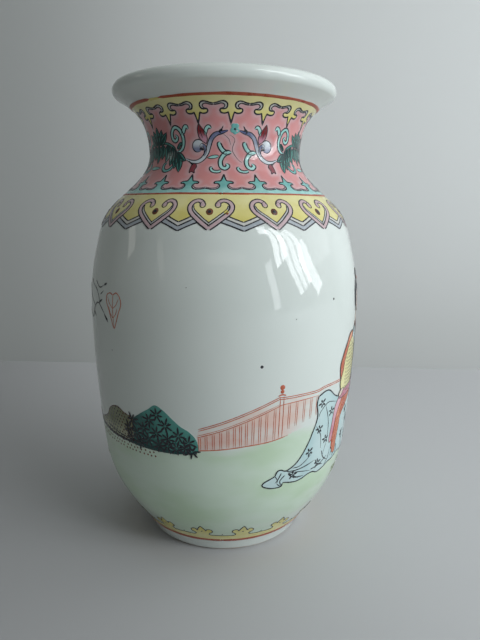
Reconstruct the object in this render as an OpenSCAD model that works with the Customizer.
// Porcelain vase with a rolled lip, a waisted neck and a barrel body.
// The fired body is four sections luted together with slip. A glaze coats it
// outside, inside and under the base, and overglaze enamels lie on the glaze.
// Everything is turned about Z, and the foot stands on Z = 0. -Y is the front.

/* [Vase] */
// Overall height, foot to top of the lip
vase_h = 200; // [190:1:215]
// Largest radius of the body
belly_r = 60.5; // [57:0.5:64]
// Smallest radius of the neck
waist_r = 33.2; // [32:0.1:35]
// Radius at the outermost point of the lip
lip_r = 48.2; // [47:0.1:50]
// Radius of the circle that rounds the lip
lip_round_r = 2.95; // [2.6:0.05:3.3]
// Radius of the body just above the foot
foot_r = 39.3; // [38:0.1:41]
// Outer radius of the foot's standing edge
foot_stand_r = 36.2; // [35:0.1:37]

/* [Walls] */
// Thickness of the wall in the belly
belly_wall = 3.4; // [2.8:0.1:4.2]
// Thickness of the wall in the neck
neck_wall = 3.6; // [3.0:0.1:4.2]
// How much thicker the wall is down at the foot
foot_extra = 2.4; // [1.5:0.1:3]
// Thickness of the floor
floor_t = 5.0; // [4:0.1:6]
// Depth of the recess under the base
recess_h = 4.2; // [3.5:0.1:5]
// Width of the foot ring
foot_ring_w = 3.4; // [3:0.1:4.5]

/* [Coats] */
// Thickness of the glaze
glaze_t = 0.3; // [0.2:0.05:0.5]
// Height of the bare band at the foot, where the glaze is wiped off
bare_h = 1.2; // [0.8:0.1:2]
// Thickness of a ground of enamel
ground_t = 0.12; // [0.08:0.01:0.2]
// Thickness of an iron red line
line_t = 0.16; // [0.1:0.01:0.3]
// Thickness of a thick drop or petal of enamel
relief_t = 0.3; // [0.2:0.01:0.5]

/* [Ornament] */
// Number of ruyi heads round the shoulder collar
ruyi_n = 14; // [10:1:16]
// Turn of the first ruyi head from the front, degrees
ruyi_turn = -4; // [-12:1:12]
// Height of the middle of a ruyi head
ruyi_z = 148; // [147:0.5:149]
// Radius of each of the three lobes of a ruyi head
lobe_r = 3.6; // [3:0.1:4]
// Radius of the red jewel in a ruyi head
jewel_r = 1.1; // [0.8:0.05:1.4]
// Height of the middle of the red line under the lip
lip_line_z = 190.6; // [190:0.1:191]
// Height of the middle of the red line at the foot of the neck
neck_line_z = 154.4; // [154:0.1:155]
// Height of the middle of the red line above the foot
foot_line_z = 7.4; // [7:0.1:8]
// Width of a red line, up the wall
line_w = 1.1; // [0.8:0.1:1.4]

/* [Hidden] */

foot_h = 6;                     // the body has swelled to foot_r at this height
belly_z = 0.5 * vase_h;
waist_z = 0.875 * vase_h;
lip_z = vase_h - lip_round_r;
lip_c = lip_r - lip_round_r;    // radius of the circle that runs through the middle of the lip
lip_start_a = -60;              // angle on the lip where the outside runs onto it
lip_end_a = lip_start_a + 180;  // and where the inside leaves it

function lip_point(a, d) = [lip_c + (lip_round_r + d) * cos(a), lip_z + (lip_round_r + d) * sin(a)];
rim = lip_point(lip_start_a, 0);
rim_z = rim[1];
rim_slope = -tan(lip_start_a);

// Height and radius at a share of the way from foot to belly, from belly to
// waist, and from waist to rim.
function swell(up, out) = [foot_h + up * (belly_z - foot_h), foot_r + out * (belly_r - foot_r)];
function close(up, in) = [belly_z + up * (waist_z - belly_z), belly_r - in * (belly_r - waist_r)];
function flare(up, out) = [waist_z + up * (rim_z - waist_z), waist_r + out * (rim[0] - waist_r)];

// Knots of the outline, [height, radius], from the foot to the lip.
KNOTS = [
    [0, foot_stand_r],
    swell(0, 0),
    swell(0.06, 0.18),
    swell(0.17, 0.50),
    swell(0.32, 0.765),
    swell(0.51, 0.88),
    swell(0.75, 0.965),
    swell(1, 1),
    close(0.27, 0.03),
    close(0.48, 0.15),
    close(0.64, 0.34),
    close(0.77, 0.71),
    close(0.88, 0.96),
    close(1, 1),
    flare(0.46, 0.155),
    flare(0.80, 0.545),
    [rim_z, rim[0]]
];
LAST = len(KNOTS) - 1;

// A cubic spline through the knots, straight at the foot and with the lip's
// own slope at the rim. BEND holds its second derivatives, by elimination.
function gap(i) = KNOTS[i + 1][0] - KNOTS[i][0];
function rise(i) = (KNOTS[i + 1][1] - KNOTS[i][1]) / gap(i);
function load(i) = i == LAST ? rim_slope - rise(i - 1) : rise(i) - rise(i - 1);
function forward(i = 1, row = [0, 0], rows = [[0, 0]]) =
    i > LAST ? rows :
    let (after = i == LAST ? 0 : gap(i),
         pivot = 2 * (gap(i - 1) + after) - gap(i - 1) * row[0],
         next = [after / pivot, (6 * load(i) - gap(i - 1) * row[1]) / pivot])
    forward(i + 1, next, concat(rows, [next]));
ROWS = forward();
function backward(i = LAST, found = []) =
    i < 0 ? found :
    backward(i - 1, concat([ROWS[i][1] - (i == LAST ? 0 : ROWS[i][0] * found[0])], found));
BEND = backward();

function span(z, i = 0) = i == LAST - 1 || z < KNOTS[i + 1][0] ? i : span(z, i + 1);
function outline_r(z) =
    let (i = span(z), h = gap(i), a = (KNOTS[i + 1][0] - z) / h, b = 1 - a)
    a * KNOTS[i][1] + b * KNOTS[i + 1][1]
    + ((a * a * a - a) * BEND[i] + (b * b * b - b) * BEND[i + 1]) * h * h / 6;
function outline_slope(z) =
    let (i = span(z), h = gap(i), a = (KNOTS[i + 1][0] - z) / h, b = 1 - a)
    rise(i) + ((3 * b * b - 1) * BEND[i + 1] - (3 * a * a - 1) * BEND[i]) * h / 6;

// The outline's point at height z, moved outwards by d at right angles to it.
function skin_point(z, d) =
    let (m = outline_slope(z), n = sqrt(1 + m * m))
    [outline_r(z) + d / n, z - d * m / n];

// Thickness of the whole wall: thicker at the foot, and swelling into the lip.
function blend(z, z0, z1) = let (t = min(1, max(0, (z - z0) / (z1 - z0)))) t * t * (3 - 2 * t);
function wall(z) =
    belly_wall + foot_extra * (1 - blend(z, foot_h, 0.2 * vase_h))
    + (neck_wall - belly_wall) * blend(z, 0.65 * vase_h, waist_z)
    + (2 * lip_round_r - neck_wall) * blend(z, waist_z, rim_z);

// The outline is cut into level_n steps, and every coat and section follows
// the same steps, so that they meet face to face. inside is 0 on the outside
// of the wall and 1 on the inside.
level_n = 96;
level_gap = rim_z / level_n;
function level_point(i, inside, d) = skin_point(i * level_gap, d - inside * wall(i * level_gap));
function step_point(z, inside, d) =
    let (i = min(level_n - 1, floor(z / level_gap)), t = z / level_gap - i)
    (1 - t) * level_point(i, inside, d) + t * level_point(i + 1, inside, d);
function line(z0, z1, inside, d) = concat(
    [step_point(z0, inside, d)],
    [for (i = [floor(z0 / level_gap) + 1:ceil(z1 / level_gap) - 1]) level_point(i, inside, d)],
    [step_point(z1, inside, d)]
);
function skin(z0, z1, d) = line(z0, z1, 0, d);
function inner_skin(z0, z1, d) = line(z0, z1, 1, d);
function lip_arc(a0, a1, d, last = 8) = [for (i = [1:last]) lip_point(a0 + (a1 - a0) * i / 8, d)];
function reversed(list) = [for (i = [len(list) - 1:-1:0]) list[i]];

neck_joint_z = 157;
middle_joint_z = 0.44 * vase_h;
floor_z = recess_h + floor_t;
base_joint_z = floor_z + 3;
foot_inner_r = foot_stand_r - foot_ring_w;
edge_round = 0.5;

// The inside of the base, from the middle of the floor out to just short of
// the wall, with its corner rounded by a curve. d moves it into the hollow.
corner_reach = 10;
function floor_line(d) =
    let (top = step_point(base_joint_z, 1, -d),
         start = [top[0] - corner_reach, floor_z + d],
         corner = [top[0] - 3, floor_z + d])
    concat([[0, floor_z + d]],
        [for (t = [0:1 / 6:0.9])
            (1 - t) * (1 - t) * start + 2 * t * (1 - t) * corner + t * t * top]);

// The recess under the base, from its middle out to the foot ring.
function recess_line(d) = [
    [0, recess_h + d], [foot_inner_r - 2.4, recess_h + d],
    [foot_inner_r - 0.6 + d, recess_h - 0.7 + d], [foot_inner_r + d, recess_h - 2.4],
    [foot_inner_r + d, bare_h]
];

module turn() { rotate_extrude($fn = 180) children(); }

// A stretch of wall between two heights.
module wall_section(z0, z1) {
    turn() polygon(concat(skin(z0, z1, -glaze_t), reversed(inner_skin(z0, z1, glaze_t))));
}

// A coat on the outside between two heights, its inner face d0 and its outer
// face d1 above the glaze's surface.
module coat(z0, z1, d0, d1) {
    turn() polygon(concat(skin(z0, z1, d1), reversed(skin(z0, z1, d0))));
}
module red_line(z) { color("firebrick") coat(z - line_w / 2, z + line_w / 2, 0, line_t); }

module base_section() {
    color("ivory") turn() polygon(concat(
        [step_point(base_joint_z, 1, glaze_t)], reversed(floor_line(-glaze_t)), recess_line(glaze_t),
        [[foot_inner_r + glaze_t, edge_round], [foot_inner_r + glaze_t + edge_round, 0],
         [foot_stand_r - glaze_t - edge_round, 0]],
        skin(edge_round, base_joint_z, -glaze_t)
    ));
}
module lower_body_section() { color("ivory") wall_section(base_joint_z, middle_joint_z); }
module upper_body_section() { color("ivory") wall_section(middle_joint_z, neck_joint_z); }
module neck_section() {
    color("ivory") turn() polygon(concat(
        skin(neck_joint_z, rim_z, -glaze_t), lip_arc(lip_start_a, 90, -glaze_t),
        reversed(concat(inner_skin(neck_joint_z, rim_z, glaze_t), lip_arc(lip_end_a, 90, -glaze_t, 7)))
    ));
}

// The outer glaze runs up from the bare band to the top of the lip, and the
// inner glaze runs down from there and covers the floor.
module outer_glaze() {
    color("azure") turn() polygon(concat(
        skin(bare_h, rim_z, 0), lip_arc(lip_start_a, 90, 0),
        reversed(lip_arc(lip_start_a, 90, -glaze_t)), reversed(skin(bare_h, rim_z, -glaze_t))
    ));
}
module inner_glaze() {
    color("azure") turn() polygon(concat(
        floor_line(0), inner_skin(base_joint_z, rim_z, 0), lip_arc(lip_end_a, 90, 0),
        reversed(lip_arc(lip_end_a, 90, -glaze_t)), reversed(inner_skin(base_joint_z, rim_z, glaze_t)),
        reversed(floor_line(-glaze_t))
    ));
}
module base_glaze() {
    color("azure") turn() polygon(concat(recess_line(0), reversed(recess_line(glaze_t))));
}

// The neck's three grounds of enamel lie between two red lines.
border_w = 4.5;
lip_line_foot = lip_line_z - line_w / 2;
neck_line_top = neck_line_z + line_w / 2;
module lip_red_line() { red_line(lip_line_z); }
module neck_yellow_border() {
    color("khaki") coat(lip_line_foot - border_w, lip_line_foot, 0, ground_t);
}
module neck_pink_ground() {
    color("hotpink") coat(neck_line_top + border_w, lip_line_foot - border_w, 0, ground_t);
}
module neck_turquoise_border() {
    color("mediumturquoise") coat(neck_line_top, neck_line_top + border_w, 0, ground_t);
}
module neck_red_line() { red_line(neck_line_z); }

// The shoulder collar: a yellow ground, ruyi heads in relief on it, and a red
// jewel in each head.
collar_foot_z = 143;
collar_top_z = neck_line_z - line_w / 2;
module shoulder_yellow_collar() { color("khaki") coat(collar_foot_z, collar_top_z, 0, ground_t); }

// The flat shape of its children, drawn upright on the front, cut out of a
// coat and repeated all round. The cuts start at cut_start_r, clear of each other.
cut_start_r = waist_r + 8;
module round_collar(d0, d1) {
    intersection() {
        coat(collar_foot_z, collar_top_z, d0, d1);
        for (i = [0:ruyi_n - 1]) rotate([90, 0, ruyi_turn + 360 * i / ruyi_n])
            translate([0, ruyi_z, cut_start_r]) linear_extrude(belly_r - cut_start_r) children();
    }
}
module ruyi_outline() {
    for (side = [-1, 1]) translate([side * lobe_r, lobe_r / 4]) circle(lobe_r, $fn = 48);
    translate([0, lobe_r / 3]) circle(lobe_r, $fn = 48);
    polygon([[-1.7 * lobe_r, -0.4 * lobe_r], [0, collar_foot_z - ruyi_z], [1.7 * lobe_r, -0.4 * lobe_r]]);
}
module ruyi_heads() { color("pink") round_collar(ground_t, ground_t + relief_t) ruyi_outline(); }
module collar_jewels() {
    color("firebrick") round_collar(ground_t + relief_t, ground_t + 2 * relief_t)
        circle(jewel_r, $fn = 32);
}

// The painted ground below the garden scene, and the border at the foot.
meadow_top_z = 56;
foot_border_z = 13;
module meadow_wash() { color("honeydew") coat(foot_border_z, meadow_top_z, 0, ground_t); }
module foot_yellow_border() {
    color("khaki") coat(foot_line_z + line_w / 2, foot_border_z, 0, ground_t);
}
module foot_red_line() { red_line(foot_line_z); }

base_section();
lower_body_section();
upper_body_section();
neck_section();
outer_glaze();
inner_glaze();
base_glaze();
lip_red_line();
neck_yellow_border();
neck_pink_ground();
neck_turquoise_border();
neck_red_line();
shoulder_yellow_collar();
ruyi_heads();
collar_jewels();
meadow_wash();
foot_yellow_border();
foot_red_line();
